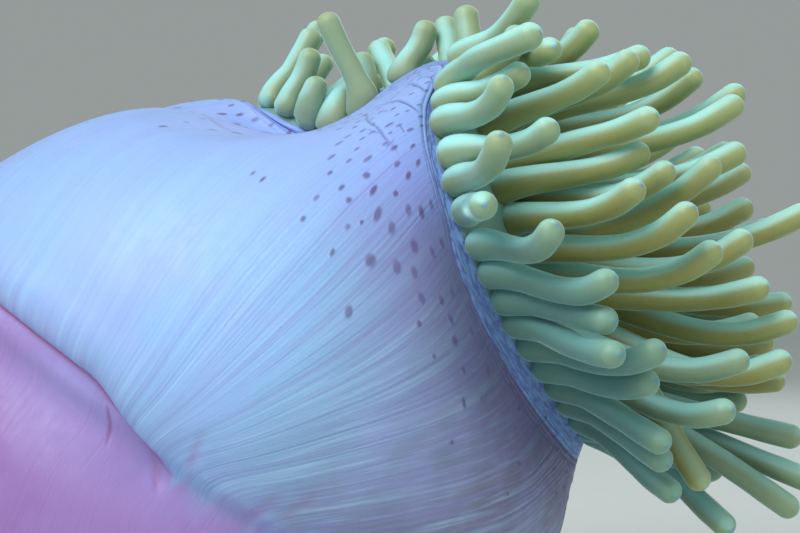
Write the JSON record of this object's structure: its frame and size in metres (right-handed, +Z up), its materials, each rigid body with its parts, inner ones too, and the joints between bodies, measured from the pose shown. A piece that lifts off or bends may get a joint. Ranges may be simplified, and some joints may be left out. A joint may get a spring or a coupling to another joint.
{
  "type": "sea anemone",
  "caption": "Sea anemone model: a smooth swollen column leaning over its flat foot, with a crown of blunt finger-like tentacles spread round the mouth",
  "frame": {"origin": "centre of the flat underside of the foot, on the floor", "axes": "+Z up; the column leans and the crown of tentacles points along +X and a little up; -Y is the side seen in the main view"},
  "size_m": [0.3332, 0.2423, 0.2517],
  "materials": {
    "foot_skin": "soft satin flesh, magenta pink",
    "column_skin": "soft satin flesh, lavender blue with darker pleats and purple spots",
    "tentacle_skin": "smooth moist flesh, olive with pale blue-green edges"
  },
  "bodies": {
    "root": {"pedal_disc": "foot_skin", "lower_column": "foot_skin", "upper_column": "column_skin", "collar": "column_skin", "mouth": "tentacle_skin", "tentacle_crown": "tentacle_skin"}
  },
  "joints": []
}
